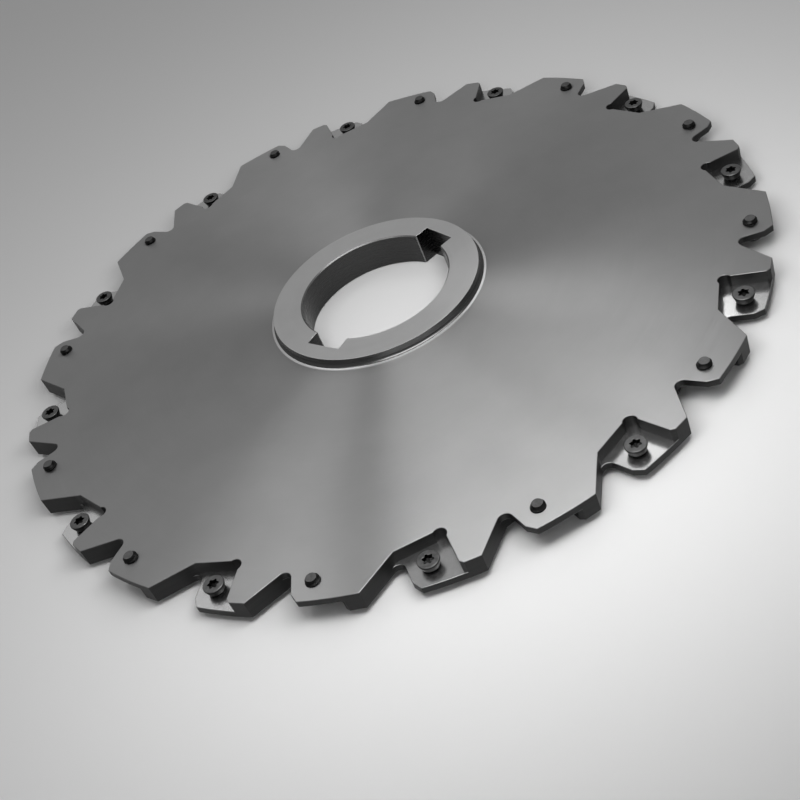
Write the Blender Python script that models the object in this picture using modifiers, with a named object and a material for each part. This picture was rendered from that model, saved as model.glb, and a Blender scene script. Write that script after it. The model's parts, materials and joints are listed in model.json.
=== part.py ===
"""Side and face milling cutter body with staggered insert pockets, and the screws in them.

Metres, +Z along the arbor. The back hub face lies at Z 0, the bore runs up +Z, and keyway 1 lies on
+X. Seen from the front (+Z) the cutter turns clockwise, so every pocket opens on its clockwise side.
Stations alternate round the rim: one pocket cut from the back face, the next from the front face.
"""

import math

import bmesh
import bpy

MM = 0.001

# Disc and hub
BODY_RADIUS = 99.0 * MM
DISC_THICKNESS = 5.0 * MM
BORE_RADIUS = 20.0 * MM
BORE_CHAMFER = 0.3 * MM
HUB_WALL = 8.0 * MM
HUB_FRONT_RISE = 2.4 * MM
HUB_BACK_RISE = 1.6 * MM
HUB_CHAMFER = 0.3 * MM
HUB_FILLET = 1.3 * MM
KEYWAY_WIDTH = 10.0 * MM
KEYWAY_DEPTH = 3.5 * MM
KEYWAY_ANGLES = (0.0, 195.0)

# Rim stations, counted in pairs of one back and one front pocket
STATION_PAIRS = 12
FIRST_STATION_ANGLE = 11.4
SCREW_INSET = 5.0 * MM

# Insert seat, measured from its screw's axis and turned by the seat's lean
SEAT_LEAN = 10.65
SEAT_BACK = 5.4 * MM
SEAT_INNER = 5.2 * MM
SEAT_FRONT = 4.9 * MM
SEAT_MOUTH = 5.84 * MM
SEAT_WEB = 1.8 * MM
RELIEF_RADIUS = 1.6 * MM
RELIEF_PAST_BACK = 0.5 * MM
RELIEF_PAST_INNER = 0.45 * MM
MOUTH_DRAFT = 3.0
BACK_CHAMFER = 0.8 * MM

# Chip gullet ahead of each seat
GULLET_SLOPE = 44.0
GULLET_FILLET = 1.7 * MM
LEAD_CHAMFER = 1.2 * MM
LEAD_CHAMFER_HEIGHT = 2.1 * MM

# Insert screw
SCREW_RADIUS = 1.75 * MM
SCREW_CLEARANCE = 0.15 * MM
SCREW_HEAD_SINK = 0.9 * MM
SCREW_TIP_RISE = 1.2 * MM
SCREW_TIP_CHAMFER = 0.35 * MM
HEAD_OVERHANG = 0.75 * MM
HEAD_RIM = 0.35 * MM
HEAD_CHAMFER = 0.15 * MM
HEAD_CONE_HALF_ANGLE = 30.0
SOCKET_WALL = 0.38 * MM
SOCKET_LOBE_HEIGHT = 0.39 * MM
SOCKET_DEPTH = 1.1 * MM
SOCKET_LOBES = 6
SOCKET_TURN = 47.0

# Facets of round shapes, the most of a wall that a fillet may take, and how far a cutter runs past
BODY_STEPS = 96
SCREW_STEPS = 16
FILLET_SEGMENTS = 3
GULLET_SEGMENTS = 5
RELIEF_SEGMENTS = 6
FILLET_SHARE = 0.8
CUT_PAST = 2.0 * MM
WELD_DISTANCE = 0.001 * MM

# Places that follow from the sizes above
BACK_FACE = HUB_BACK_RISE
FRONT_FACE = BACK_FACE + DISC_THICKNESS
HUB_TOP = FRONT_FACE + HUB_FRONT_RISE
HUB_RADIUS = BORE_RADIUS + HUB_WALL
SCREW_CIRCLE = BODY_RADIUS - SCREW_INSET
POCKET_DEPTH = DISC_THICKNESS - SEAT_WEB
SCREW_LENGTH = DISC_THICKNESS - SCREW_HEAD_SINK + SCREW_TIP_RISE
HEAD_RADIUS = SCREW_RADIUS + HEAD_OVERHANG
HEAD_CONE_END = -HEAD_RIM - HEAD_OVERHANG / math.tan(math.radians(HEAD_CONE_HALF_ANGLE))
SOCKET_RADIUS = SCREW_RADIUS - SOCKET_WALL
SOCKET_WAIST = SOCKET_RADIUS - SOCKET_LOBE_HEIGHT
PAIR_PITCH = 360.0 / STATION_PAIRS


def clear_scene():
    for old in list(bpy.data.objects):
        bpy.data.objects.remove(old)


def make_collection(name, parent):
    made = bpy.data.collections.new(name)
    parent.children.link(made)
    return made


def metal(name, colour, roughness, metallic):
    made = bpy.data.materials.new(name)
    made.use_nodes = True
    shader = made.node_tree.nodes["Principled BSDF"]
    shader.inputs["Base Color"].default_value = (*colour, 1.0)
    shader.inputs["Roughness"].default_value = roughness
    shader.inputs["Metallic"].default_value = metallic
    return made


def arc(centre, radius, start, end, segments):
    """Points on an arc, both ends included, with angles in degrees."""
    points = []
    for step in range(segments + 1):
        angle = math.radians(start + (end - start) * step / segments)
        points.append((centre[0] + radius * math.cos(angle), centre[1] + radius * math.sin(angle)))
    return points


def add_object(name, mesh, collection):
    made = bpy.data.objects.new(name, mesh)
    collection.objects.link(made)
    return made


def evaluated_mesh(source, name):
    """The object's shape with its modifiers or its curve fill, as one welded mesh."""
    bpy.context.view_layer.update()
    graph = bpy.context.evaluated_depsgraph_get()
    mesh = bpy.data.meshes.new_from_object(source.evaluated_get(graph))
    mesh.name = name
    shape = bmesh.new()
    shape.from_mesh(mesh)
    bmesh.ops.remove_doubles(shape, verts=shape.verts, dist=WELD_DISTANCE)
    bmesh.ops.recalc_face_normals(shape, faces=shape.faces)
    shape.to_mesh(mesh)
    shape.free()
    return mesh


def prism_mesh(name, outline, height, collection):
    """A flat outline in XY, extruded from Z 0 to the height."""
    curve = bpy.data.curves.new(name, "CURVE")
    curve.dimensions = "2D"
    curve.fill_mode = "BOTH"
    curve.extrude = height / 2
    spline = curve.splines.new("POLY")
    spline.points.add(len(outline) - 1)
    for point, (x, y) in zip(spline.points, outline):
        point.co = (x, y, 0.0, 1.0)
    spline.use_cyclic_u = True
    drawn = add_object(name, curve, collection)
    mesh = evaluated_mesh(drawn, name)
    bpy.data.objects.remove(drawn)
    for vertex in mesh.vertices:
        vertex.co.z += height / 2
    return mesh


def turned_object(name, profile, closed, steps, collection):
    """A profile of (radius, Z) points, running down its outer side, turned about Z."""
    mesh = bpy.data.meshes.new(name)
    edges = [(index, index + 1) for index in range(len(profile) - 1)]
    if closed:
        edges.append((len(profile) - 1, 0))
    mesh.from_pydata([(radius, 0.0, height) for radius, height in profile], edges, [])
    made = add_object(name, mesh, collection)
    turn = made.modifiers.new("Turn", "SCREW")
    turn.steps = steps
    turn.render_steps = steps
    turn.use_merge_vertices = True
    turn.merge_threshold = WELD_DISTANCE
    return made


def make_cutter(name, mesh, collection):
    made = add_object(name, mesh, collection)
    made.hide_render = True
    made.display_type = "WIRE"
    return made


def cut(target, name, cutters):
    """A Boolean difference with one cutter or with a collection of them."""
    difference = target.modifiers.new(name, "BOOLEAN")
    difference.operation = "DIFFERENCE"
    difference.solver = "EXACT"
    if isinstance(cutters, bpy.types.Collection):
        difference.operand_type = "COLLECTION"
        difference.collection = cutters
    else:
        difference.object = cutters


def stations():
    """Name, angle in degrees and front or back side of every station, counter-clockwise."""
    found = []
    for pair in range(STATION_PAIRS):
        angle = FIRST_STATION_ANGLE + PAIR_PITCH * pair
        found.append((f"back_screw_{pair + 1:02d}", angle, False))
        found.append((f"front_screw_{pair + 1:02d}", angle + PAIR_PITCH / 2, True))
    return found


def put_on_station(piece, angle, height, lean=0.0):
    """Moves a piece to a station's screw axis, with its X ahead in the cut and its Y outward."""
    turn = math.radians(angle)
    piece.location = (SCREW_CIRCLE * math.cos(turn), SCREW_CIRCLE * math.sin(turn), height)
    piece.rotation_euler = (0.0, 0.0, math.radians(angle - 90.0 + lean))


def seat_out(ahead, radius):
    """How far out a seat line at this distance ahead of the screw meets a circle about the arbor."""
    lean = math.radians(SEAT_LEAN)
    across = ahead + SCREW_CIRCLE * math.sin(lean)
    return math.sqrt(radius**2 - across**2) - SCREW_CIRCLE * math.cos(lean)


def slope_direction(draft=0.0):
    """The gullet's long flank as seen from the seat, whose frame is turned by the lean."""
    angle = math.radians(GULLET_SLOPE - SEAT_LEAN + draft)
    return math.cos(angle), math.sin(angle)


def slope_length_to(radius):
    """Length of the flank from the pocket's mouth corner out to a circle about the arbor."""
    lean = math.radians(SEAT_LEAN)
    x = SEAT_MOUTH + SCREW_CIRCLE * math.sin(lean)
    y = -SEAT_INNER + SCREW_CIRCLE * math.cos(lean)
    along = x * slope_direction()[0] + y * slope_direction()[1]
    return math.sqrt(along**2 + radius**2 - x**2 - y**2) - along


def gullet_centre():
    """Centre of the gullet's round bottom, which touches the flank and the seat's front face."""
    slope = slope_direction()
    x = SEAT_FRONT + GULLET_FILLET
    y = (GULLET_FILLET + (x - SEAT_MOUTH) * slope[1]) / slope[0] - SEAT_INNER
    return x, y


def rim_chamfer(face, ahead, height):
    """A chamfer between a seat face and the rim: its start on the face, then its end run out past the rim."""
    start = (face, seat_out(face, BODY_RADIUS) - height)
    end = (face + ahead, seat_out(face + ahead, BODY_RADIUS))
    return start, (2 * end[0] - start[0], 2 * end[1] - start[1])


def gullet_outline():
    """The chip space: long flank, round bottom, the seat's front face and its leading chamfer."""
    slope = slope_direction()
    far = slope_length_to(BODY_RADIUS + CUT_PAST)
    flank_angle = GULLET_SLOPE - SEAT_LEAN - 90.0
    chamfer, run_out = rim_chamfer(SEAT_FRONT, -LEAD_CHAMFER, LEAD_CHAMFER_HEIGHT)
    outline = [(SEAT_MOUTH + far * slope[0], far * slope[1] - SEAT_INNER)]
    outline += arc(gullet_centre(), GULLET_FILLET, flank_angle, -180.0, GULLET_SEGMENTS)
    outline += [chamfer, run_out]
    outline.append((run_out[0], seat_out(run_out[0], BODY_RADIUS + CUT_PAST)))
    return outline


def pocket_outline():
    """The insert seat: inner wall, corner relief, back wall with its chamfer, open ahead and outward.

    Its mouth follows the gullet's flank, drafted into the chip space, until it is past the round bottom.
    """
    slope = slope_direction()
    draft = slope_direction(MOUTH_DRAFT)
    bottom = gullet_centre()
    mouth_length = (bottom[0] - SEAT_MOUTH) * slope[0] + (bottom[1] + SEAT_INNER) * slope[1] + GULLET_FILLET
    mouth = (SEAT_MOUTH + mouth_length * draft[0], mouth_length * draft[1] - SEAT_INNER)
    relief_from_back = RELIEF_RADIUS - RELIEF_PAST_BACK
    relief_from_inner = RELIEF_RADIUS - RELIEF_PAST_INNER
    relief = (relief_from_back - SEAT_BACK, relief_from_inner - SEAT_INNER)
    start = -math.degrees(math.asin(relief_from_inner / RELIEF_RADIUS))
    end = -180.0 - math.degrees(math.acos(relief_from_back / RELIEF_RADIUS))
    chamfer, run_out = rim_chamfer(-SEAT_BACK, -BACK_CHAMFER, BACK_CHAMFER)
    outline = [(SEAT_MOUTH, -SEAT_INNER)]
    outline += arc(relief, RELIEF_RADIUS, start, end, RELIEF_SEGMENTS)
    outline += [chamfer, run_out, (run_out[0], seat_out(run_out[0], BODY_RADIUS + CUT_PAST))]
    outline.append((mouth[0], seat_out(mouth[0], BODY_RADIUS + CUT_PAST)))
    outline.append(mouth)
    return outline


def body_profile():
    """The turned blank's ring section: bore, front hub, disc and back hub."""
    front_fillet = min(HUB_FILLET, FILLET_SHARE * (HUB_FRONT_RISE - HUB_CHAMFER))
    back_fillet = min(HUB_FILLET, FILLET_SHARE * (HUB_BACK_RISE - HUB_CHAMFER))
    front_centre = (HUB_RADIUS + front_fillet, FRONT_FACE + front_fillet)
    back_centre = (HUB_RADIUS + back_fillet, BACK_FACE - back_fillet)
    profile = [
        (BORE_RADIUS, HUB_TOP - BORE_CHAMFER),
        (BORE_RADIUS + BORE_CHAMFER, HUB_TOP),
        (HUB_RADIUS - HUB_CHAMFER, HUB_TOP),
        (HUB_RADIUS, HUB_TOP - HUB_CHAMFER),
    ]
    profile += arc(front_centre, front_fillet, 180.0, 270.0, FILLET_SEGMENTS)
    profile += [(BODY_RADIUS, FRONT_FACE), (BODY_RADIUS, BACK_FACE)]
    profile += arc(back_centre, back_fillet, 90.0, 180.0, FILLET_SEGMENTS)
    profile += [
        (HUB_RADIUS, HUB_CHAMFER),
        (HUB_RADIUS - HUB_CHAMFER, 0.0),
        (BORE_RADIUS + BORE_CHAMFER, 0.0),
        (BORE_RADIUS, BORE_CHAMFER),
    ]
    return profile


def hole_profile():
    """The tapped hole's plain clearance shape: the screw's own outline, grown by the clearance."""
    hole_radius = SCREW_RADIUS + SCREW_CLEARANCE
    bottom = -SCREW_LENGTH - CUT_PAST
    return [
        (0.0, SCREW_CLEARANCE),
        (HEAD_RADIUS + SCREW_CLEARANCE, SCREW_CLEARANCE),
        (HEAD_RADIUS + SCREW_CLEARANCE, -HEAD_RIM),
        (hole_radius, HEAD_CONE_END),
        (hole_radius, bottom),
        (0.0, bottom),
    ]


def screw_profile():
    """Head top at Z 0, then rim, cone and plain thread down to the chamfered tip."""
    return [
        (0.0, 0.0),
        (HEAD_RADIUS - HEAD_CHAMFER, 0.0),
        (HEAD_RADIUS, -HEAD_CHAMFER),
        (HEAD_RADIUS, -HEAD_RIM),
        (SCREW_RADIUS, HEAD_CONE_END),
        (SCREW_RADIUS, SCREW_TIP_CHAMFER - SCREW_LENGTH),
        (SCREW_RADIUS - SCREW_TIP_CHAMFER, -SCREW_LENGTH),
        (0.0, -SCREW_LENGTH),
    ]


def socket_outline():
    """A six-lobe drive: lobe tips and waists in turn."""
    outline = []
    for corner in range(2 * SOCKET_LOBES):
        radius = SOCKET_RADIUS if corner % 2 == 0 else SOCKET_WAIST
        angle = math.pi * corner / SOCKET_LOBES
        outline.append((radius * math.cos(angle), radius * math.sin(angle)))
    return outline


def make_screw_mesh(steel, cutters):
    blank = turned_object("screw_blank", screw_profile(), False, SCREW_STEPS, cutters)
    drive = prism_mesh("screw_drive", socket_outline(), SOCKET_DEPTH + CUT_PAST, cutters)
    socket = make_cutter("screw_drive", drive, cutters)
    socket.location.z = -SOCKET_DEPTH
    cut(blank, "Socket", socket)
    mesh = evaluated_mesh(blank, "insert_screw")
    bpy.data.objects.remove(blank)
    bpy.data.objects.remove(socket)
    mesh.materials.clear()
    mesh.materials.append(steel)
    return mesh


def make_body(steel, parts, cutters):
    """The blank, then gullets and keyways, then pockets, then tapped holes."""
    body = turned_object("cutter_body", body_profile(), True, BODY_STEPS, parts)
    body.data.materials.append(steel)
    through = make_collection("through_cuts", cutters)
    seats = make_collection("pocket_cuts", cutters)
    drilled = make_collection("screw_holes", cutters)

    through_height = DISC_THICKNESS + 2 * CUT_PAST
    gullet = prism_mesh("gullet", gullet_outline(), through_height, through)
    pocket = prism_mesh("pocket", pocket_outline(), POCKET_DEPTH + CUT_PAST, seats)
    hole_blank = turned_object("hole_blank", hole_profile(), False, SCREW_STEPS, drilled)
    hole = evaluated_mesh(hole_blank, "screw_hole")
    bpy.data.objects.remove(hole_blank)

    for name, angle, is_front in stations():
        gullet_cutter = make_cutter(f"gullet_{name}", gullet, through)
        put_on_station(gullet_cutter, angle, BACK_FACE - CUT_PAST, SEAT_LEAN)
        pocket_cutter = make_cutter(f"pocket_{name}", pocket, seats)
        floor = FRONT_FACE - POCKET_DEPTH if is_front else BACK_FACE - CUT_PAST
        put_on_station(pocket_cutter, angle, floor, SEAT_LEAN)
        put_screw(make_cutter(f"hole_{name}", hole, drilled), angle, is_front)

    for number, angle in enumerate(KEYWAY_ANGLES, start=1):
        reach = BORE_RADIUS + KEYWAY_DEPTH
        half = KEYWAY_WIDTH / 2
        outline = [(0.0, -half), (reach, -half), (reach, half), (0.0, half)]
        slot = prism_mesh(f"keyway_{number}", outline, HUB_TOP + 2 * CUT_PAST, through)
        slot_cutter = make_cutter(f"keyway_{number}", slot, through)
        slot_cutter.location.z = -CUT_PAST
        slot_cutter.rotation_euler.z = math.radians(angle)

    cut(body, "Gullets and keyways", through)
    cut(body, "Pockets", seats)
    cut(body, "Screw holes", drilled)
    return body


def put_screw(piece, angle, is_front):
    """Seats a screw, or its hole, with the head sunk below the face that its pocket opens on."""
    if is_front:
        put_on_station(piece, angle, FRONT_FACE - SCREW_HEAD_SINK)
    else:
        put_on_station(piece, angle, BACK_FACE + SCREW_HEAD_SINK)
        piece.rotation_euler.x = math.pi


def make_screws(mesh, parts, body):
    for order, (name, angle, is_front) in enumerate(stations()):
        screw = add_object(name, mesh, parts)
        put_screw(screw, angle, is_front)
        screw.rotation_euler.z += math.radians(SOCKET_TURN * order)
        screw.parent = body


def main():
    clear_scene()
    root = bpy.context.scene.collection
    parts = make_collection("milling_cutter", root)
    cutters = make_collection("cutters", root)
    ground_steel = metal("ground_steel", (0.36, 0.36, 0.37), 0.32, 1.0)
    black_steel = metal("black_oxide_steel", (0.06, 0.06, 0.065), 0.42, 0.9)
    body = make_body(ground_steel, parts, cutters)
    screw_mesh = make_screw_mesh(black_steel, cutters)
    make_screws(screw_mesh, parts, body)


main()
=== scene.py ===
"""Dressed model of a staggered side and face milling cutter with its 24 insert screws.

Everything is in metres in the packed frame: +Z is the arbor axis, the back hub face lies at Z 0
and the first keyway points along +X. Seen from the front, the cutter turns clockwise.
"""

import json
import math
from typing import NamedTuple

import bmesh
import bpy
from mathutils import Matrix, Vector


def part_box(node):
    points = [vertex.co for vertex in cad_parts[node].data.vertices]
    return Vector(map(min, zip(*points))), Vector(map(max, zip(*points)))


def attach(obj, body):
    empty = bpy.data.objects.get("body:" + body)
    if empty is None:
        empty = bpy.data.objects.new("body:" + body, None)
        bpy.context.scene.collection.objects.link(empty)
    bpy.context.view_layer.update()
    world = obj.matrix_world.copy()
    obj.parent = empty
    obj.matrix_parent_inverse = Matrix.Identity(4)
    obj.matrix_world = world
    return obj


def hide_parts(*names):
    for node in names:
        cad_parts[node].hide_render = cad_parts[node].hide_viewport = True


bl_info = {
    "name": "Side and Face Milling Cutter",
    "version": (1, 0, 0),
    "blender": (4, 5, 0),
    "location": "View3D > Sidebar > Milling Cutter",
    "description": "Builds a staggered milling cutter, its insert screws and a studio stage",
    "category": "Mesh",
}

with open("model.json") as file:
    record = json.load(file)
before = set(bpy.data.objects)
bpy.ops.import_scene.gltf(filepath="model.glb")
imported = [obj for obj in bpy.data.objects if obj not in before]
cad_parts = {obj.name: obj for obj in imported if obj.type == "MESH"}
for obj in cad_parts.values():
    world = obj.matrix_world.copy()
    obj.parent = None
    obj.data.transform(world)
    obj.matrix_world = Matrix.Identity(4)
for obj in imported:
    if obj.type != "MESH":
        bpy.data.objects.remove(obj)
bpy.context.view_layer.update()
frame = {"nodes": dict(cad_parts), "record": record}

MM = 0.001
ARBOR_AXIS = Vector((0.0, 0.0, 1.0))
WELD_DISTANCE = 0.0005 * MM
EDGE_MARGIN = 0.5 * MM
LEVEL_NORMAL = 0.9999
UPRIGHT_NORMAL = 0.1
CRISP_ANGLE = math.radians(30.0)
SMOOTH_BODY_BELOW = math.radians(35.0)
SMOOTH_SCREW_BELOW = math.radians(38.0)
NEAREST_SEEN = 10.0 * MM

# Largest fillet at the foot of a hub, as a share of the hub's height.
FILLET_SHARE = 0.65

# Finish numbers of the cutter body's faces, then of the screws'.
FACE, HUB, COLLAR, SEAT, WALL, BORE, EDGE = range(7)
# The screws' second finish is black oxide darkened with painted shade; the first is worn oxide
# lightened with painted light.
WORN_PAINTED_LIGHT, BLACK_PAINTED_SHADE = range(2)

BODY_NODE = "cutter_body"
FRONT_NODES = sorted(name for name in frame["nodes"] if name.startswith("front_screw"))
BACK_NODES = sorted(name for name in frame["nodes"] if name.startswith("back_screw"))
BODY_LOW, BODY_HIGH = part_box(BODY_NODE)
FRONT_LOW, FRONT_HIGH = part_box(FRONT_NODES[0])
BACK_LOW, BACK_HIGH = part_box(BACK_NODES[0])
FRONT_AXIS = (FRONT_LOW + FRONT_HIGH).xy / 2.0
BACK_AXIS = (BACK_LOW + BACK_HIGH).xy / 2.0
ARBOR_BORE = next(m for m in frame["record"]["mounts"] if m["name"] == "arbor_bore")


def length(name, description, default):
    """A length property, in metres."""
    return bpy.props.FloatProperty(
        name=name, description=description, default=default, precision=5, unit="LENGTH"
    )


def angle(name, description, degrees):
    """An angle property, given in degrees."""
    return bpy.props.FloatProperty(
        name=name, description=description, default=math.radians(degrees), subtype="ANGLE"
    )


def amount(name, description, default):
    """A plain number from 0 to 1."""
    return bpy.props.FloatProperty(
        name=name, description=description, default=default, min=0.0, max=1.0, subtype="FACTOR"
    )


def colour(name, description, default):
    """A linear colour property."""
    return bpy.props.FloatVectorProperty(
        name=name, description=description, default=default, size=3, min=0.0, max=1.0,
        subtype="COLOR",
    )


def count(name, description, default):
    """A whole number of copies or steps."""
    return bpy.props.IntProperty(name=name, description=description, default=default, min=1)


class CutterBodySizes(bpy.types.PropertyGroup):
    """Sizes of the cutter body."""

    outside_radius: length("Outside radius", "Radius of the tooth rims", max(BODY_HIGH.xy))
    hub_top: length("Hub front", "Height of the front hub face", BODY_HIGH.z)
    hub_bottom: length("Hub back", "Height of the back hub face", BODY_LOW.z)
    face_front: length("Disc front", "Height of the disc's front face", 6.6 * MM)
    face_back: length("Disc back", "Height of the disc's back face", 1.6 * MM)
    bore_radius: length("Bore radius", "Radius of the arbor bore", ARBOR_BORE["dims"]["r_mm"] * MM)
    bore_chamfer: length("Bore chamfer", "Chamfer at both ends of bore and keyways", 0.3 * MM)
    hub_radius: length("Hub radius", "Outside radius of the hub", 28.0 * MM)
    hub_fillet: length("Hub fillet", "Fillet between hub and disc", 1.3 * MM)
    # The rest of the fillet gets the collar's dark painted shade.
    fillet_foot: angle("Fillet foot", "Part of the hub's fillet that is ground with the face", 27.0)
    hub_edge: length("Hub edge", "Rounding of the hub's outer edge", 0.12 * MM)
    keyway_width: length("Keyway width", "Width of both keyways", 10.0 * MM)
    keyway_depth: length("Keyway depth", "Depth of both keyways past the bore", 3.5 * MM)
    keyway_turn: angle("Second keyway", "Turn from the first keyway to the second", 195.0)
    screw_circle: length("Screw circle", "Radius of the circle of insert screws", FRONT_AXIS.length)
    front_station: angle(
        "First front station", "Turn of the first pocket in the front face",
        math.degrees(math.atan2(FRONT_AXIS.y, FRONT_AXIS.x)),
    )
    back_station: angle(
        "First back station", "Turn of the first pocket in the back face",
        math.degrees(math.atan2(BACK_AXIS.y, BACK_AXIS.x)),
    )
    station_pairs: count(
        "Station pairs", "Pairs of one front and one back pocket", len(FRONT_NODES)
    )
    seat_lean: angle("Seat lean", "Lean of the insert seats from the radius", 10.65)
    seat_back: length("Seat back", "From the screw axis to the wall behind the insert", 5.4 * MM)
    seat_inner: length("Seat inner", "From the screw axis to the wall under the insert", 5.2 * MM)
    seat_front: length("Seat front", "From the screw axis to the open front of the seat", 4.9 * MM)
    seat_mouth: length("Seat mouth", "From the screw axis to the end of the inner wall", 5.84 * MM)
    seat_web: length("Seat web", "Thickness of the web under each seat", 1.8 * MM)
    relief_radius: length("Relief radius", "Corner relief of the seat", 1.6 * MM)
    relief_past_back: length("Relief past back", "Relief cut past the back wall", 0.5 * MM)
    relief_past_inner: length("Relief past inner", "Relief cut past the inner wall", 0.45 * MM)
    back_chamfer: length("Back chamfer", "Chamfer at the outer end of the back wall", 0.8 * MM)
    gullet_slope: angle("Gullet slope", "Slope of the gullet's far flank", 44.0)
    gullet_fillet: length("Gullet fillet", "Radius at the bottom of the gullet", 1.7 * MM)
    lead_chamfer: length("Lead chamfer", "Leading chamfer of each web, along the rim", 1.2 * MM)
    lead_height: length("Lead height", "Leading chamfer of each web, along its front", 2.1 * MM)
    hole_radius: length("Hole radius", "Radius of the screw holes in the webs", 1.74 * MM)
    edge_break: length("Edge break", "Rounding of the deburred edges", 0.12 * MM)
    turn_steps: count("Turn steps", "Steps round the hub", 192)
    rim_step: angle("Rim step", "Turn of one step along the rim", 1.0)
    edge_segments: count("Edge segments", "Segments across a rounded edge", 3)
    arc_step: angle("Arc step", "Turn of one step along fillets, reliefs and gullets", 12.0)
    hole_step: angle("Hole step", "Turn of one step round the screw holes", 6.0)


class InsertScrewSizes(bpy.types.PropertyGroup):
    """Sizes of one insert screw."""

    head_radius: length("Head radius", "Radius of the screw head", (FRONT_HIGH - FRONT_LOW).x / 2.0)
    head_rim: length("Head rim", "Height of the head's straight rim", 0.3 * MM)
    head_chamfer: length("Head chamfer", "Chamfer round the head's top", 0.15 * MM)
    cone_angle: angle("Cone half angle", "Half of the cone angle under the head", 18.0)
    neck_radius: length("Neck radius", "Radius at the lower end of the head's cone", 2.05 * MM)
    total_length: length("Length", "Length from head top to tip", (FRONT_HIGH - FRONT_LOW).z)
    thread_radius: length("Thread radius", "Outer radius of the thread", 1.71 * MM)
    thread_pitch: length("Thread pitch", "Rise of the thread in one turn", 0.6 * MM)
    thread_depth: length("Thread depth", "Depth of the thread groove", 0.32 * MM)
    tip_chamfer: length("Tip chamfer", "How far the tip's cone draws in the thread", 0.4 * MM)
    tip_cone: length("Tip cone", "Height of the tip's cone", 0.6 * MM)
    socket_radius: length("Socket radius", "Radius over the socket's lobes", 1.37 * MM)
    socket_waist: length("Socket waist", "Radius between the socket's lobes", 0.98 * MM)
    socket_depth: length("Socket depth", "Depth of the six-lobe socket", 1.1 * MM)
    socket_point: length("Socket point", "Depth of the drill point under the socket", 0.35 * MM)
    point_share: amount(
        "Point share", "Width of the drill point's end, as a share of the socket", 0.02
    )
    socket_lobes: count("Socket lobes", "Lobes of the socket", 6)
    socket_turn: angle("Socket turn", "Turn of the first screw's socket", 47.0)
    socket_change: angle("Socket change", "Turn of the socket from one screw to the next", 17.0)
    edge_break: length("Edge break", "Rounding of the head's edges", 0.05 * MM)
    edge_segments: count("Edge segments", "Segments across a rounded edge", 2)
    turn_steps: count("Turn steps", "Steps round the screw", 48)


class SteelFinishes(bpy.types.PropertyGroup):
    """Colours of the finishes, some darkened with painted shade or lightened with painted light."""

    face_steel: colour("Face steel", "Ground faces of the disc", (0.42, 0.42, 0.42))
    hub_steel: colour("Hub steel", "Ground faces of the hub", (0.68, 0.68, 0.68))
    # Painted shade: the hub's turned walls are painted dark to stand in for their shade.
    collar_steel_painted_shade: colour("Collar steel", "Turned walls of the hub", (0.1, 0.1, 0.1))
    seat_steel: colour("Seat steel", "Polished floors of the insert seats", (0.68, 0.68, 0.68))
    # Painted shade: the milled walls are painted near black, far darker than their steel, to stand
    # in for their shade.
    wall_steel_painted_shade: colour("Wall steel", "Milled walls of gullets and seats", (0.04, 0.04, 0.04))
    # Painted shade: the bore and keyway walls are painted near black to stand in for their shade.
    bore_steel_painted_shade: colour("Bore steel", "Honed wall of the bore", (0.06, 0.06, 0.06))
    edge_steel: colour("Edge steel", "Burnished edges of the rim", (0.22, 0.22, 0.22))
    # Worn oxide with painted light: the heads' tops and the tips are painted lighter than the rest
    # of the screw, as lit faces.
    worn_painted_light_oxide: colour("Worn oxide", "Heads and tips of the insert screws", (0.14, 0.14, 0.14))
    # Black oxide with painted shade: necks, cones, threads and sockets are painted far darker than
    # the heads' tops, for the shade they lie in.
    black_painted_shade_oxide: colour(
        "Black oxide", "Necks, threads and sockets of the insert screws", (0.02, 0.02, 0.02)
    )
    face_grain: amount("Face grain", "How far the turned grain stretches highlights", 0.9)
    hub_grain: amount("Hub grain", "How far the ground grain stretches highlights", 0.4)


class StudioSettings(bpy.types.PropertyGroup):
    """Floor, light and camera."""

    floor_side: length("Floor side", "Side of the square floor", 6.0)
    floor_paint: colour("Floor paint", "Pale floor", (0.7, 0.7, 0.7))
    room_light: colour("Room light", "Even light of the room", (0.31, 0.31, 0.31))
    lamp_power: bpy.props.FloatProperty(
        name="Lamp power", description="Share of full power of all softboxes", default=1.0, min=0.0,
        subtype="FACTOR",
    )
    aim: bpy.props.FloatVectorProperty(
        name="Aim", description="Point on the disc that the camera looks at",
        default=(-24.15 * MM, -37.45 * MM, 6.6 * MM), size=3, subtype="XYZ", unit="LENGTH",
    )
    camera_turn: angle("Camera turn", "Azimuth of the camera about its aim", -114.683)
    camera_rise: angle("Camera rise", "Elevation of the camera above its aim", 39.082)
    camera_roll: angle("Camera roll", "Roll of the camera to its right", 24.651)
    camera_reach: length("Camera distance", "Distance of the camera from its aim", 291.08 * MM)
    focal_length: bpy.props.FloatProperty(
        name="Focal length", description="Focal length on a 36 mm sensor", default=56.64,
        unit="CAMERA",
    )


def faces_of(vertices):
    """All faces that use any of these vertices."""
    return {face for vertex in vertices for face in vertex.link_faces}


def draw_line(bm, points, closed=False):
    """Vertices and edges of a line through the points."""
    corners = [bm.verts.new(point) for point in points]
    pairs = list(zip(corners, corners[1:]))
    if closed:
        pairs.append((corners[-1], corners[0]))
    return corners, [bm.edges.new(pair) for pair in pairs]


def raise_wall(bm, line, heights, finish, closed=False):
    """Extrudes a line up from the first height through the others as one wall."""
    start = Vector((0.0, 0.0, heights[0]))
    edges = draw_line(bm, [point + start for point in line], closed)[1]
    for low, high in zip(heights, heights[1:]):
        raised = bmesh.ops.extrude_edge_only(bm, edges=edges)["geom"]
        corners = [item for item in raised if isinstance(item, bmesh.types.BMVert)]
        top = set(corners)
        edges = [
            item for item in raised
            if isinstance(item, bmesh.types.BMEdge) and top.issuperset(item.verts)
        ]
        bmesh.ops.translate(bm, verts=corners, vec=(0.0, 0.0, high - low))
        for face in faces_of(corners):
            face.material_index = finish


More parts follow.
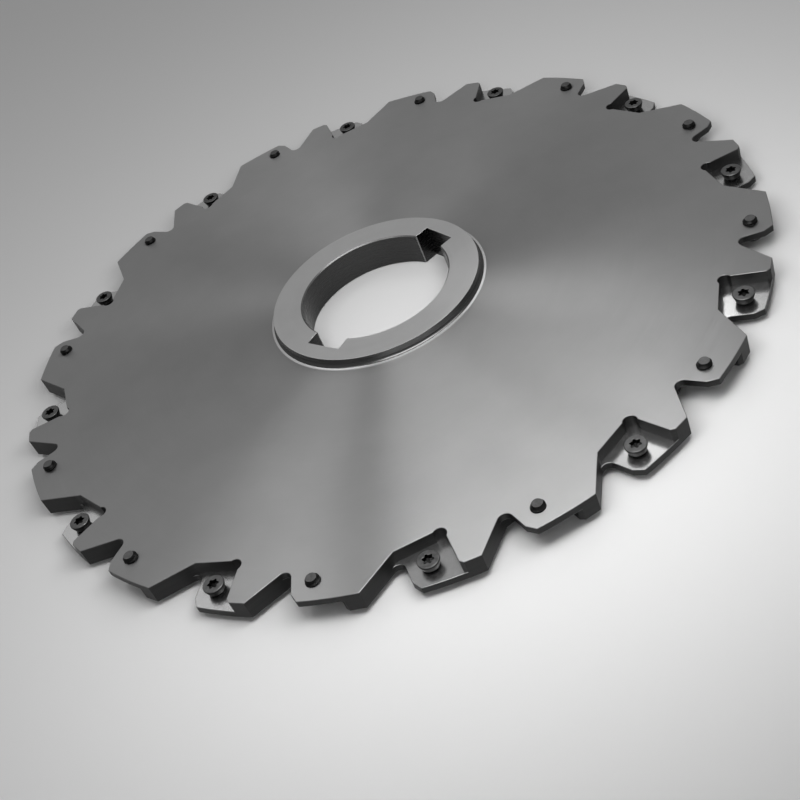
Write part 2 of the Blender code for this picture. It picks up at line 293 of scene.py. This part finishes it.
def turn_profile(bm, profile, steps, finish):
    """Spins a profile of radius and height pairs about the arbor axis."""
    there = set(bm.faces)
    corners, edges = draw_line(bm, [(radius, 0.0, height) for radius, height in profile])
    bmesh.ops.spin(
        bm, geom=corners + edges, cent=(0.0, 0.0, 0.0), axis=ARBOR_AXIS, dvec=(0.0, 0.0, 0.0),
        angle=math.tau, steps=steps, use_merge=True, use_duplicate=False,
    )
    for face in set(bm.faces) - there:
        face.material_index = finish


def level_edges(bm, height):
    """Open edges at one height."""
    return [
        edge for edge in bm.edges
        if edge.is_boundary and all(abs(v.co.z - height) < WELD_DISTANCE for v in edge.verts)
    ]


def close_level(bm, height, finish):
    """Fills the open edges at one height with a flat face, round its holes."""
    filled = bmesh.ops.triangle_fill(
        bm, use_beauty=True, edges=level_edges(bm, height), normal=ARBOR_AXIS
    )["geom"]
    for face in filled:
        if isinstance(face, bmesh.types.BMFace):
            face.material_index = finish


def sharp_edges(bm, smallest, wanted):
    """Outward edges that are sharper than an angle and wanted."""
    return [
        edge for edge in bm.edges
        if edge.is_manifold and edge.calc_face_angle_signed(0.0) > smallest and wanted(edge)
    ]


def round_edges(bm, edges, width, segments):
    """Rounds edges, with the finish of the faces beside them, and gives the new faces."""
    return bmesh.ops.bevel(
        bm, geom=edges, offset=width, offset_type="OFFSET", affect="EDGES", segments=segments,
        profile=0.5, material=-1, clamp_overlap=False,
    )["faces"]


def finish_piece(bm, name, finishes, smooth_below):
    """Makes the closed mesh an object with soft shading and crisp flats."""
    bmesh.ops.remove_doubles(bm, verts=bm.verts, dist=WELD_DISTANCE)
    if any(not edge.is_manifold for edge in bm.edges):
        raise RuntimeError(f"the mesh of {name} isn't closed")
    bmesh.ops.recalc_face_normals(bm, faces=bm.faces)
    for face in bm.faces:
        face.smooth = True
    for edge in bm.edges:
        one, other = (abs(face.normal.z) > LEVEL_NORMAL for face in edge.link_faces)
        edge.smooth = one == other and edge.calc_face_angle() < smooth_below
    mesh = bpy.data.meshes.new(name)
    bm.to_mesh(mesh)
    bm.free()
    for material in finishes:
        mesh.materials.append(material)
    piece = bpy.data.objects.new(name, mesh)
    bpy.context.scene.collection.objects.link(piece)
    return piece


def weigh_normals(piece):
    """Keeps large flats flat beside rounded edges, and stores the normals in the mesh."""
    piece.modifiers.new("Flat faces", "WEIGHTED_NORMAL").keep_sharp = True
    graph = bpy.context.evaluated_depsgraph_get()
    rough = piece.data
    piece.data = bpy.data.meshes.new_from_object(piece.evaluated_get(graph))
    piece.data.name = rough.name
    piece.modifiers.clear()
    bpy.data.meshes.remove(rough)


def arc(centre, radius, start, end, step):
    """Points along an arc from one angle to another, both ends included."""
    steps = max(1, round(abs(end - start) / step))
    turns = [start + (end - start) * i / steps for i in range(steps + 1)]
    return [
        Vector((centre[0] + radius * math.cos(t), centre[1] + radius * math.sin(t), 0.0))
        for t in turns
    ]


def rim_arc(sizes, start, end):
    """Points along the rim, counterclockwise from one point to another."""
    first = math.atan2(start.y, start.x)
    sweep = (math.atan2(end.y, end.x) - first) % math.tau
    return arc((0.0, 0.0), sizes.outside_radius, first, first + sweep, sizes.rim_step)


def seat_out(sizes, ahead):
    """How far out of the screw axis the rim lies, at a place ahead of the axis."""
    across = ahead + sizes.screw_circle * math.sin(sizes.seat_lean)
    reach = math.sqrt(sizes.outside_radius**2 - across**2)
    return reach - sizes.screw_circle * math.cos(sizes.seat_lean)


def rim_on_slope(sizes, slope):
    """Where the gullet's slope reaches the rim, in the seat's own axes."""
    lean = sizes.seat_lean
    base = Vector((sizes.seat_mouth, -sizes.seat_inner, 0.0))
    from_arbor = base + sizes.screw_circle * Vector((math.sin(lean), math.cos(lean), 0.0))
    along = from_arbor.dot(slope)
    room = sizes.outside_radius**2 - from_arbor.length_squared
    return base + slope * (math.sqrt(along**2 + room) - along)


def rim_chamfer(sizes, face, ahead, height):
    """Both ends of a chamfer between a face across the seat and the rim."""
    start = Vector((face, seat_out(sizes, face) - height, 0.0))
    return [start, Vector((face + ahead, seat_out(sizes, face + ahead), 0.0))]


def gullet_line(sizes, slope):
    """Web outline in the seat's axes: gullet bottom, open front and leading chamfer."""
    across = sizes.seat_front + sizes.gullet_fillet
    up = (sizes.gullet_fillet + (across - sizes.seat_mouth) * slope.y) / slope.x
    flank = math.atan2(slope.y, slope.x) - math.pi / 2.0
    line = arc(
        (across, up - sizes.seat_inner), sizes.gullet_fillet, flank, -math.pi, sizes.arc_step
    )
    return line + rim_chamfer(sizes, sizes.seat_front, -sizes.lead_chamfer, sizes.lead_height)


def seat_line(sizes):
    """Pocket outline in the seat's axes: inner wall, corner relief, back wall and its chamfer."""
    from_back = sizes.relief_radius - sizes.relief_past_back
    from_inner = sizes.relief_radius - sizes.relief_past_inner
    line = [Vector((sizes.seat_mouth, -sizes.seat_inner, 0.0))]
    line += arc(
        (from_back - sizes.seat_back, from_inner - sizes.seat_inner),
        sizes.relief_radius,
        -math.asin(from_inner / sizes.relief_radius),
        -math.pi - math.acos(from_back / sizes.relief_radius),
        sizes.arc_step,
    )
    return line + rim_chamfer(sizes, -sizes.seat_back, -sizes.back_chamfer, sizes.back_chamfer)


def station_lines(sizes, station):
    """Outlines of one station on the disc: slope, web, seat and the rim up to the next slope."""
    tilt = sizes.gullet_slope - sizes.seat_lean
    slope = Vector((math.cos(tilt), math.sin(tilt), 0.0))
    place = (
        Matrix.Rotation(station - math.pi / 2.0, 4, "Z")
        @ Matrix.Translation((0.0, sizes.screw_circle, 0.0))
        @ Matrix.Rotation(sizes.seat_lean, 4, "Z")
    )
    rim_start = place @ rim_on_slope(sizes, slope)
    web = [place @ point for point in gullet_line(sizes, slope)]
    seat = [place @ point for point in seat_line(sizes)]
    next_start = Matrix.Rotation(math.pi / sizes.station_pairs, 4, "Z") @ rim_start
    return {
        "slope": [rim_start, web[0]],
        "web": web[:-1] + rim_arc(sizes, web[-1], seat[-1]),
        "seat": [web[0]] + seat,
        "rim": rim_arc(sizes, seat[-1], next_start),
    }


def cut_station(bm, sizes, station, levels, seat_levels, web_levels):
    """Walls of one insert station: gullet, seat, web and screw hole."""
    lines = station_lines(sizes, station)
    for part, heights in (
        ("slope", levels), ("rim", levels), ("seat", seat_levels), ("web", web_levels)
    ):
        # Walls of gullets, seats and holes get the walls' near-black painted shade.
        raise_wall(bm, lines[part], heights, WALL)
    axis = Vector((math.cos(station), math.sin(station))) * sizes.screw_circle
    hole = arc(axis, sizes.hole_radius, 0.0, math.tau, sizes.hole_step)[:-1]
    raise_wall(bm, hole, web_levels, WALL, closed=True)


def bore_line(sizes):
    """Outline of the bore with its two keyways."""
    half = sizes.keyway_width / 2.0
    shoulder = math.asin(half / sizes.bore_radius)
    bottom = sizes.bore_radius + sizes.keyway_depth
    step = math.tau / sizes.turn_steps
    line = []
    for turn, next_turn in ((0.0, sizes.keyway_turn), (sizes.keyway_turn, math.tau)):
        spin = Matrix.Rotation(turn, 4, "Z")
        line += [spin @ Vector((bottom, -half, 0.0)), spin @ Vector((bottom, half, 0.0))]
        line += arc((0.0, 0.0), sizes.bore_radius, turn + shoulder, next_turn - shoulder, step)
    return line


def turn_hub(bm, sizes, disc, top):
    """Spins the hub's wall and the fillet at its foot, from the disc to the hub's face."""
    out = math.copysign(1.0, top - disc)
    height = abs(top - disc)
    fillet = min(sizes.hub_fillet, FILLET_SHARE * height)
    centre = (sizes.hub_radius + fillet, fillet)
    middle = -math.pi / 2.0 - sizes.fillet_foot
    foot = arc(centre, fillet, -math.pi / 2.0, middle, sizes.arc_step)
    wall = arc(centre, fillet, middle, -math.pi, sizes.arc_step)
    wall.append(Vector((sizes.hub_radius, height, 0.0)))
    # The fillet's foot keeps the hub's paint; the rest of the fillet and the wall get the collar's
    # painted shade.
    for line, finish in ((foot, HUB), (wall, COLLAR)):
        profile = [(point.x, disc + out * point.y) for point in line]
        turn_profile(bm, profile, sizes.turn_steps, finish)


def model_body(sizes):
    """The cutter body as a closed bmesh, with one finish number per face."""
    bm = bmesh.new()
    front_floor = sizes.face_back + sizes.seat_web
    back_floor = sizes.face_front - sizes.seat_web
    levels = (sizes.face_back, front_floor, back_floor, sizes.face_front)
    cut_station(bm, sizes, sizes.front_station, levels, levels[1:], levels[:2])
    cut_station(bm, sizes, sizes.back_station, levels, levels[:3], levels[2:])
    copies = sizes.station_pairs - 1
    bmesh.ops.spin(
        bm, geom=bm.verts[:] + bm.edges[:] + bm.faces[:], cent=(0.0, 0.0, 0.0), axis=ARBOR_AXIS,
        dvec=(0.0, 0.0, 0.0), angle=math.tau * copies / sizes.station_pairs, steps=copies,
        use_duplicate=True,
    )
    turn_hub(bm, sizes, sizes.face_front, sizes.hub_top)
    turn_hub(bm, sizes, sizes.face_back, sizes.hub_bottom)
    # The bore and keyways get the bore's near-black painted shade.
    raise_wall(bm, bore_line(sizes), (sizes.hub_bottom, sizes.hub_top), BORE, closed=True)
    bmesh.ops.remove_doubles(bm, verts=bm.verts, dist=WELD_DISTANCE)
    for height, finish in (
        (sizes.hub_bottom, HUB), (sizes.hub_top, HUB),
        (sizes.face_back, FACE), (sizes.face_front, FACE),
        (front_floor, SEAT), (back_floor, SEAT),
    ):
        close_level(bm, height, finish)
    bmesh.ops.recalc_face_normals(bm, faces=bm.faces)
    return bm


def in_hole(sizes, point):
    """Whether a point lies on the wall of a screw hole."""
    pitch = math.pi / sizes.station_pairs
    turn = math.atan2(point.y, point.x) - sizes.front_station
    beside = turn - round(turn / pitch) * pitch
    spot = point.xy.length * Vector((math.cos(beside), math.sin(beside)))
    return (spot - Vector((sizes.screw_circle, 0.0))).length < sizes.hole_radius + WELD_DISTANCE


def edge_reach(edge):
    """How far from the arbor axis an edge reaches."""
    return max(vertex.co.xy.length for vertex in edge.verts)


def round_body(bm, sizes):
    """Chamfers the bore, rounds the hub and breaks all other edges but those of the holes."""
    past_keyway = sizes.bore_radius + sizes.keyway_depth + EDGE_MARGIN
    past_hub = sizes.hub_radius + sizes.hub_fillet / 2.0

    def at_rim(edge):
        return edge_reach(edge) > past_hub and not all(in_hole(sizes, v.co) for v in edge.verts)

    rim = sharp_edges(bm, CRISP_ANGLE, at_rim)
    for face in round_edges(bm, rim, sizes.edge_break, sizes.edge_segments):
        face.normal_update()
        # Rounded edges that face up get the edge paint; the others get the walls' near-black painted
        # shade.
        face.material_index = EDGE if abs(face.normal.z) > UPRIGHT_NORMAL else WALL
    hub = sharp_edges(bm, CRISP_ANGLE, lambda edge: past_keyway < edge_reach(edge) < past_hub)
    round_edges(bm, hub, sizes.hub_edge, sizes.edge_segments)
    bore = sharp_edges(bm, CRISP_ANGLE, lambda edge: edge_reach(edge) < past_keyway)
    for face in round_edges(bm, bore, sizes.bore_chamfer, 1):
        face.material_index = EDGE


# Corners of one thread ridge, as shares of the pitch.
ROOT_END, CREST_START, CREST_END = 0.12, 0.44, 0.68


def build_thread(bm, sizes, top, bottom):
    """A helical thread between two heights, with its ends cut square."""
    pitch = sizes.thread_pitch
    crest, root = sizes.thread_radius, sizes.thread_radius - sizes.thread_depth
    turns = math.ceil((top - bottom) / pitch) + 2
    start = bottom - pitch
    ridge = ((root, 0.0), (root, ROOT_END), (crest, CREST_START), (crest, CREST_END), (root, 1.0))
    corners, edges = draw_line(bm, [(r, 0.0, start + share * pitch) for r, share in ridge])
    bmesh.ops.spin(
        bm, geom=corners + edges, cent=(0.0, 0.0, 0.0), axis=ARBOR_AXIS,
        dvec=(0.0, 0.0, pitch / sizes.turn_steps), angle=math.tau * turns,
        steps=sizes.turn_steps * turns, use_merge=False, use_duplicate=False,
    )
    bmesh.ops.remove_doubles(bm, verts=bm.verts, dist=WELD_DISTANCE)
    for height, side in ((top, 1.0), (bottom, -1.0)):
        bmesh.ops.bisect_plane(
            bm, geom=bm.verts[:] + bm.edges[:] + bm.faces[:], dist=WELD_DISTANCE,
            plane_co=(0.0, 0.0, height), plane_no=ARBOR_AXIS * side, clear_outer=True,
        )


def pull_in(bm, edges, rise, share, finish):
    """Extrudes open edges along the axis and draws them in or out."""
    pulled = bmesh.ops.extrude_edge_only(bm, edges=edges)["geom"]
    corners = [item for item in pulled if isinstance(item, bmesh.types.BMVert)]
    bmesh.ops.scale(bm, verts=corners, vec=(share, share, 1.0))
    bmesh.ops.translate(bm, verts=corners, vec=(0.0, 0.0, rise))
    for face in faces_of(corners):
        face.material_index = finish


def model_screw(sizes):
    """One insert screw on its own axis, with its head top at height 0, as a closed bmesh."""
    bm = bmesh.new()
    shoulder = -sizes.head_chamfer - sizes.head_rim
    cone = (sizes.head_radius - sizes.neck_radius) / math.tan(sizes.cone_angle)
    neck = shoulder - cone
    tip = sizes.tip_cone - sizes.total_length
    build_thread(bm, sizes, neck, tip)
    # Thread, neck and tip cone get the black oxide with painted shade.
    for face in bm.faces:
        face.material_index = BLACK_PAINTED_SHADE
    tip_share = 1.0 - sizes.tip_chamfer / sizes.thread_radius
    pull_in(bm, level_edges(bm, tip), -sizes.tip_cone, tip_share, BLACK_PAINTED_SHADE)
    # The tip's face gets the lighter worn oxide with painted light.
    close_level(bm, -sizes.total_length, WORN_PAINTED_LIGHT)
    rim = (sizes.head_radius, -sizes.head_chamfer)
    chamfer = ((sizes.head_radius - sizes.head_chamfer, 0.0), rim)
    side = (rim, (sizes.head_radius, shoulder), (sizes.neck_radius, neck))
    # The head's top chamfer gets worn oxide with painted light; the rim and cone get black oxide
    # with painted shade.
    turn_profile(bm, chamfer, sizes.turn_steps, WORN_PAINTED_LIGHT)
    turn_profile(bm, side, sizes.turn_steps, BLACK_PAINTED_SHADE)
    bmesh.ops.remove_doubles(bm, verts=bm.verts, dist=WELD_DISTANCE)
    close_level(bm, neck, BLACK_PAINTED_SHADE)
    swing = (sizes.socket_radius - sizes.socket_waist) / 2.0
    middle = sizes.socket_waist + swing
    points = 2 * sizes.turn_steps
    lobes = []
    for turn in (math.tau * i / points for i in range(points)):
        out = middle + swing * math.cos(sizes.socket_lobes * turn)
        lobes.append(Matrix.Rotation(turn, 4, "Z") @ Vector((out, 0.0, 0.0)))
    # The socket gets the black oxide with painted shade.
    raise_wall(bm, lobes, (-sizes.socket_depth, 0.0), BLACK_PAINTED_SHADE, closed=True)
    floor = level_edges(bm, -sizes.socket_depth)
    pull_in(bm, floor, -sizes.socket_point, sizes.point_share, BLACK_PAINTED_SHADE)
    close_level(bm, -sizes.socket_depth - sizes.socket_point, BLACK_PAINTED_SHADE)
    # The head's top gets the worn oxide with painted light.
    close_level(bm, 0.0, WORN_PAINTED_LIGHT)
    bmesh.ops.remove_doubles(bm, verts=bm.verts, dist=WELD_DISTANCE)
    bmesh.ops.recalc_face_normals(bm, faces=bm.faces)
    lowest = shoulder - WELD_DISTANCE
    head = sharp_edges(bm, CRISP_ANGLE, lambda edge: min(v.co.z for v in edge.verts) > lowest)
    round_edges(bm, head, sizes.edge_break, sizes.edge_segments)
    return bm


def add_node(tree, kind, **settings):
    """A new shader node with its settings."""
    node = tree.nodes.new(kind)
    for name, value in settings.items():
        setattr(node, name, value)
    return node


def new_finish(name, paint, metallic, roughness):
    """A material with its Principled shader set to one paint and roughness."""
    material = bpy.data.materials.new(name)
    material.use_nodes = True
    shader = material.node_tree.nodes["Principled BSDF"]
    shader.inputs["Base Color"].default_value = (*paint, 1.0)
    shader.inputs["Metallic"].default_value = metallic
    shader.inputs["Roughness"].default_value = roughness
    return material, material.node_tree, shader


def noise(tree, place, stretch, detail):
    """Noise on a position that is first stretched by three scales."""
    scaled = add_node(tree, "ShaderNodeVectorMath", operation="MULTIPLY")
    scaled.inputs[1].default_value = stretch
    tree.links.new(place, scaled.inputs[0])
    pattern = add_node(tree, "ShaderNodeTexNoise")
    pattern.inputs["Scale"].default_value = 1.0
    pattern.inputs["Detail"].default_value = detail
    tree.links.new(scaled.outputs["Vector"], pattern.inputs["Vector"])
    return pattern.outputs["Fac"]


def object_place(tree):
    """Position on the piece."""
    return add_node(tree, "ShaderNodeTexCoord").outputs["Object"]


def ring_place(tree):
    """Position as distance from the arbor axis, then X and Y, for patterns that run in rings."""
    place = object_place(tree)
    flat = add_node(tree, "ShaderNodeVectorMath", operation="MULTIPLY")
    flat.inputs[1].default_value = (1.0, 1.0, 0.0)
    reach = add_node(tree, "ShaderNodeVectorMath", operation="LENGTH")
    parts = add_node(tree, "ShaderNodeSeparateXYZ")
    joined = add_node(tree, "ShaderNodeCombineXYZ")
    tree.links.new(place, flat.inputs[0])
    tree.links.new(flat.outputs["Vector"], reach.inputs[0])
    tree.links.new(place, parts.inputs["Vector"])
    tree.links.new(reach.outputs["Value"], joined.inputs["X"])
    tree.links.new(parts.outputs["X"], joined.inputs["Y"])
    tree.links.new(parts.outputs["Y"], joined.inputs["Z"])
    return joined.outputs["Vector"]


# Most of a noise lies between these values.
NOISE_LOW, NOISE_HIGH = 0.3, 0.7


def spread(tree, value, low, high):
    """Maps the useful middle of a noise onto a range."""
    mapped = add_node(tree, "ShaderNodeMapRange")
    mapped.inputs["From Min"].default_value = NOISE_LOW
    mapped.inputs["From Max"].default_value = NOISE_HIGH
    mapped.inputs["To Min"].default_value = low
    mapped.inputs["To Max"].default_value = high
    tree.links.new(value, mapped.inputs["Value"])
    return mapped.outputs["Result"]


def stain(tree, shader, value, paint, share):
    """Darkens and lightens a paint by a noise, up to a share of it."""
    tone = add_node(tree, "ShaderNodeVectorMath", operation="SCALE")
    tone.inputs[0].default_value = paint
    tree.links.new(spread(tree, value, 1.0 - share, 1.0 + share), tone.inputs["Scale"])
    tree.links.new(tone.outputs["Vector"], shader.inputs["Base Color"])


def bump(tree, shader, value, depth):
    """Raises the surface by a noise, to a depth in metres."""
    relief = add_node(tree, "ShaderNodeBump")
    relief.inputs["Strength"].default_value = 1.0
    relief.inputs["Distance"].default_value = depth
    tree.links.new(value, relief.inputs["Height"])
    tree.links.new(relief.outputs["Normal"], shader.inputs["Normal"])


# Share of a full turn, from along the rings to across them.
ACROSS_RINGS = 0.25


def circular_grain(tree, shader, grain):
    """Stretches highlights across a grain that runs in rings about the arbor axis."""
    rings = add_node(tree, "ShaderNodeTangent", direction_type="RADIAL", axis="Z")
    shader.inputs["Anisotropic"].default_value = grain
    shader.inputs["Anisotropic Rotation"].default_value = ACROSS_RINGS
    tree.links.new(rings.outputs["Tangent"], shader.inputs["Tangent"])


class Marks(NamedTuple):
    """Fine marks of a finish: usual roughness and its range, stain, marks a metre, detail, depth."""

    roughness: float
    smoothest: float
    roughest: float
    stain: float
    scales: tuple
    detail: float
    depth: float


class Clouds(NamedTuple):
    """Faint clouding of a finish: clouds a metre and their detail."""

    scale: float
    detail: float


GROUND_FACE = Marks(0.41, 0.39, 0.43, 0.04, (2400.0, 30.0, 30.0), 4.0, 0.00015 * MM)
GROUND_HUB = Marks(0.4, 0.37, 0.43, 0.03, (2600.0, 40.0, 40.0), 4.0, 0.0002 * MM)
FACE_CLOUDS = Clouds(70.0, 6.0)
HUB_CLOUDS = Clouds(120.0, 5.0)
POLISHED_SEAT = Marks(0.24, 0.21, 0.27, 0.03, (900.0, 900.0, 900.0), 3.0, 0.0004 * MM)
TURNED_COLLAR = Marks(0.24, 0.2, 0.28, 0.12, (90.0, 90.0, 1.0 / (0.3 * MM)), 3.0, 0.0004 * MM)
MILLED_WALL = Marks(0.5, 0.46, 0.54, 0.12, (90.0, 90.0, 1.0 / (0.4 * MM)), 3.0, 0.0008 * MM)
HONED_BORE = Marks(0.28, 0.24, 0.32, 0.04, (90.0, 90.0, 1.0 / (0.3 * MM)), 3.0, 0.00004 * MM)
WORN_PAINTED_LIGHT_OXIDE = Marks(0.42, 0.36, 0.5, 0.2, (1500.0, 1500.0, 1500.0), 4.0, 0.0015 * MM)
BLACK_PAINTED_SHADE_OXIDE = Marks(0.46, 0.4, 0.54, 0.2, (1500.0, 1500.0, 1500.0), 4.0, 0.0015 * MM)
EDGE_ROUGHNESS = 0.3
FLOOR_ROUGHNESS = 0.55
FLOOR_STAIN = 0.01
FLOOR_CLOUDS = Clouds(3.0, 3.0)
STEEL, PAINT = 1.0, 0.0


def roughen(tree, shader, value, marks):
    """Lets marks change the roughness and raise the surface."""
    tree.links.new(
        spread(tree, value, marks.smoothest, marks.roughest), shader.inputs["Roughness"]
    )
    bump(tree, shader, value, marks.depth)


def cloud_noise(tree, clouds):
    """Noise of even clouds on the piece."""
    return noise(tree, object_place(tree), (clouds.scale,) * 3, clouds.detail)


def marked_finish(name, paint, marks):
    """Steel that one kind of marks stains and roughens."""
    material, tree, shader = new_finish(name, paint, STEEL, marks.roughness)
    pattern = noise(tree, object_place(tree), marks.scales, marks.detail)
    stain(tree, shader, pattern, paint, marks.stain)
    roughen(tree, shader, pattern, marks)
    return material


def ground_finish(name, paint, marks, clouds, grain):
    """Ground steel, with a fine circular grain and faint clouding."""
    material, tree, shader = new_finish(name, paint, STEEL, marks.roughness)
    stain(tree, shader, cloud_noise(tree, clouds), paint, marks.stain)
    roughen(tree, shader, noise(tree, ring_place(tree), marks.scales, marks.detail), marks)
    circular_grain(tree, shader, grain)
    return material


def on_sphere(turn, rise, reach):
    """A point at an azimuth, an elevation and a distance."""
    return reach * Vector(
        (math.cos(rise) * math.cos(turn), math.cos(rise) * math.sin(turn), math.sin(rise))
    )


class Softbox(NamedTuple):
    """A soft lamp that hangs at an azimuth and an elevation, in degrees, and faces the cutter."""

    name: str
    turn: float
    rise: float
    reach: float
    width: float
    height: float
    watts: float


SOFTBOXES = (
    Softbox("near_strip", -109.0, 50.0, 0.156, 0.12, 0.06, 0.16),
    Softbox("near_box", -59.0, 50.0, 0.156, 0.06, 0.06, 0.037),
    Softbox("left_box", 171.0, 62.0, 0.273, 0.06, 0.06, 0.045),
    Softbox("right_box", 26.0, 48.0, 0.24, 0.06, 0.06, 0.034),
    Softbox("back_box", 116.0, 58.0, 0.4, 0.1, 0.1, 0.086),
    Softbox("back_panel", 101.0, 38.0, 1.0, 0.5, 0.3, 0.12),
)


class CUTTER_OT_body(bpy.types.Operator):
    """Build the cutter body with its seats, gullets, hub, bore and keyways"""

    bl_idname = "milling_cutter.body"
    bl_label = "Cutter Body"

    def execute(self, context):
        sizes, paints = context.scene.cutter_body, context.scene.cutter_finishes
        bm = model_body(sizes)
        round_body(bm, sizes)
        finishes = [
            ground_finish(
                "ground_face", paints.face_steel, GROUND_FACE, FACE_CLOUDS, paints.face_grain
            ),
            ground_finish(
                "ground_hub", paints.hub_steel, GROUND_HUB, HUB_CLOUDS, paints.hub_grain
            ),
            # The dark paint of the hub's walls is painted shade.
            marked_finish("turned_collar_painted_shade", paints.collar_steel_painted_shade, TURNED_COLLAR),
            marked_finish("polished_seat", paints.seat_steel, POLISHED_SEAT),
            # The near-black paint of the milled walls is painted shade.
            marked_finish("milled_wall_painted_shade", paints.wall_steel_painted_shade, MILLED_WALL),
            # The near-black paint of the bore is painted shade.
            marked_finish("honed_bore_painted_shade", paints.bore_steel_painted_shade, HONED_BORE),
            new_finish("burnished_edge", paints.edge_steel, STEEL, EDGE_ROUGHNESS)[0],
        ]
        piece = finish_piece(bm, "milled_cutter_body", finishes, SMOOTH_BODY_BELOW)
        weigh_normals(piece)
        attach(piece, BODY_NODE)
        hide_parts(BODY_NODE)
        return {"FINISHED"}


class CUTTER_OT_insert_screws(bpy.types.Operator):
    """Build the insert screws of both faces, each where its packed screw is"""

    bl_idname = "milling_cutter.insert_screws"
    bl_label = "Insert Screws"

    def execute(self, context):
        sizes, paints = context.scene.cutter_screws, context.scene.cutter_finishes
        finishes = [
            # Worn oxide with painted light for heads' tops and tips, black oxide with painted shade
            # for the rest.
            marked_finish("worn_painted_light_oxide", paints.worn_painted_light_oxide, WORN_PAINTED_LIGHT_OXIDE),
            marked_finish("black_painted_shade_oxide", paints.black_painted_shade_oxide, BLACK_PAINTED_SHADE_OXIDE),
        ]
        pattern = bpy.data.meshes.new("insert_screw")
        bm = model_screw(sizes)
        bm.to_mesh(pattern)
        bm.free()
        for number, node in enumerate(FRONT_NODES + BACK_NODES):
            low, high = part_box(node)
            axis = (low + high) / 2.0
            station = math.atan2(axis.y, axis.x) - math.pi / 2.0
            turn = station + sizes.socket_turn + number * sizes.socket_change
            if node in FRONT_NODES:
                place = Matrix.Translation((axis.x, axis.y, high.z))
            else:
                place = Matrix.Translation((axis.x, axis.y, low.z))
                place = place @ Matrix.Rotation(math.pi, 4, "X")
            bm = bmesh.new()
            bm.from_mesh(pattern)
            bmesh.ops.transform(bm, matrix=place @ Matrix.Rotation(turn, 4, "Z"), verts=bm.verts)
            name = node.replace("screw", "insert_screw")
            piece = finish_piece(bm, name, finishes, SMOOTH_SCREW_BELOW)
            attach(piece, node)
            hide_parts(node)
        bpy.data.meshes.remove(pattern)
        return {"FINISHED"}


class CUTTER_OT_studio(bpy.types.Operator):
    """Set the pale floor, the soft light and the camera"""

    bl_idname = "milling_cutter.studio"
    bl_label = "Studio"

    def execute(self, context):
        settings, scene = context.scene.cutter_studio, context.scene
        self.lay_floor(scene, settings)
        self.hang_lights(scene, settings)
        self.place_camera(scene, settings)
        scene.view_settings.view_transform = "Standard"
        return {"FINISHED"}

    def lay_floor(self, scene, settings):
        """A plain square floor under the cutter."""
        bm = bmesh.new()
        bmesh.ops.create_grid(bm, x_segments=1, y_segments=1, size=settings.floor_side / 2.0)
        mesh = bpy.data.meshes.new("studio_floor")
        bm.to_mesh(mesh)
        bm.free()
        paint = settings.floor_paint
        material, tree, shader = new_finish("floor_paint", paint, PAINT, FLOOR_ROUGHNESS)
        stain(tree, shader, cloud_noise(tree, FLOOR_CLOUDS), paint, FLOOR_STAIN)
        mesh.materials.append(material)
        floor = bpy.data.objects.new("studio_floor", mesh)
        scene.collection.objects.link(floor)

    def hang_lights(self, scene, settings):
        """Even room light and the softboxes, which the camera doesn't see."""
        world = bpy.data.worlds.new("studio_room")
        world.use_nodes = True
        background = world.node_tree.nodes["Background"]
        background.inputs["Color"].default_value = (*settings.room_light, 1.0)
        scene.world = world
        for box in SOFTBOXES:
            lamp = bpy.data.lights.new(box.name, "AREA")
            lamp.shape = "RECTANGLE"
            lamp.size, lamp.size_y = box.width, box.height
            lamp.energy = box.watts * settings.lamp_power
            softbox = bpy.data.objects.new(box.name, lamp)
            softbox.location = on_sphere(math.radians(box.turn), math.radians(box.rise), box.reach)
            softbox.rotation_euler = (-softbox.location).to_track_quat("-Z", "Y").to_euler()
            softbox.visible_camera = False
            scene.collection.objects.link(softbox)

    def place_camera(self, scene, settings):
        """The camera at the photograph's viewing angle."""
        lens = bpy.data.cameras.new("photo_camera")
        lens.lens = settings.focal_length
        lens.clip_start = NEAREST_SEEN
        camera = bpy.data.objects.new("photo_camera", lens)
        back = on_sphere(settings.camera_turn, settings.camera_rise, settings.camera_reach)
        level = (-back).to_track_quat("-Z", "Y").to_matrix().to_4x4()
        roll = Matrix.Rotation(-settings.camera_roll, 4, "Z")
        camera.matrix_world = Matrix.Translation(Vector(settings.aim) + back) @ level @ roll
        scene.collection.objects.link(camera)
        scene.camera = camera


class CUTTER_PT_sidebar(bpy.types.Panel):
    """Sizes, finishes and build steps of the milling cutter"""

    bl_idname = "CUTTER_PT_sidebar"
    bl_label = "Milling Cutter"
    bl_space_type = "VIEW_3D"
    bl_region_type = "UI"
    bl_category = "Milling Cutter"

    def draw(self, context):
        for operator in (CUTTER_OT_body, CUTTER_OT_insert_screws, CUTTER_OT_studio):
            self.layout.operator(operator.bl_idname)
        for name, settings in SETTINGS.items():
            box = self.layout.box()
            box.label(text=settings.__doc__)
            for field in settings.__annotations__:
                box.prop(getattr(context.scene, name), field)


SETTINGS = {
    "cutter_body": CutterBodySizes,
    "cutter_screws": InsertScrewSizes,
    "cutter_finishes": SteelFinishes,
    "cutter_studio": StudioSettings,
}
CLASSES = (
    *SETTINGS.values(), CUTTER_OT_body, CUTTER_OT_insert_screws, CUTTER_OT_studio,
    CUTTER_PT_sidebar,
)


def register():
    """Registers the classes and hangs the settings on the scene."""
    for cls in CLASSES:
        bpy.utils.register_class(cls)
    for name, settings in SETTINGS.items():
        setattr(bpy.types.Scene, name, bpy.props.PointerProperty(type=settings))


def unregister():
    """Takes the settings and classes away again."""
    for name in SETTINGS:
        delattr(bpy.types.Scene, name)
    for cls in reversed(CLASSES):
        bpy.utils.unregister_class(cls)


def main():
    """Builds the stage and every piece."""
    register()
    bpy.ops.milling_cutter.studio()
    bpy.ops.milling_cutter.body()
    bpy.ops.milling_cutter.insert_screws()


if __name__ == "__main__":
    main()
